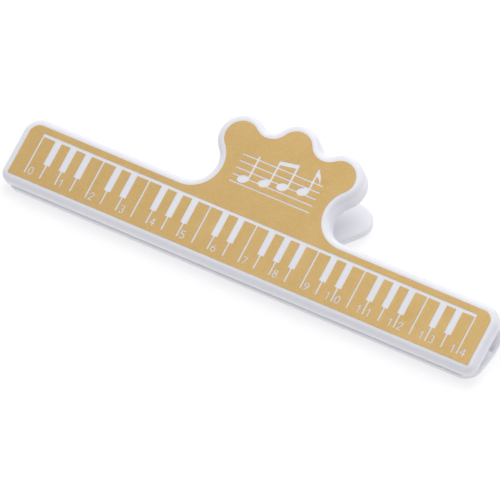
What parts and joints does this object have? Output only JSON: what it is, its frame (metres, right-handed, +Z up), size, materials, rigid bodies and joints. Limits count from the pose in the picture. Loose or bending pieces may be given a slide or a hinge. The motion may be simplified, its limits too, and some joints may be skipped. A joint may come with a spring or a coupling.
{
  "type": "sheet music page clip",
  "caption": "Wide spring clip for music pages: a long ruler-printed front jaw with a lobed handle, a hinged rear jaw with a thumb tab, closed by a torsion spring.",
  "frame": {"origin": "bottom centre of the closed clip's box, on the table that it lies on", "axes": "+X along the bar, towards the ruler's high numbers; +Z up from the table; -Y is the side of the mouth, +Y the side of the handle"},
  "size_m": [0.1536, 0.0474, 0.0257],
  "materials": {
    "white_plastic": "satin gloss, injection moulded",
    "gold_ink": "satin metallic gold print",
    "rear_plastic": "satin gloss, injection moulded",
    "pin_steel": "drawn wire",
    "spring_steel": "drawn spring wire, zinc plated"
  },
  "bodies": {
    "rear_body": {"rear_jaw": "rear_plastic"},
    "front_body": {"front_jaw": "white_plastic", "gold_print": "gold_ink", "hinge_pin": "pin_steel", "torsion_spring": "spring_steel"}
  },
  "joints": [
    {"name": "jaw_hinge", "type": "hinge", "parent": "rear_body", "child": "front_body", "pos_m": [-0.0011, -0.00265, 0.00909], "axis": [-1, 0, 0], "range_deg": [0, 34], "stiffness_Nm_per_rad": 0.15, "springref_deg": -38.39, "deforming": ["torsion_spring"]}
  ]
}
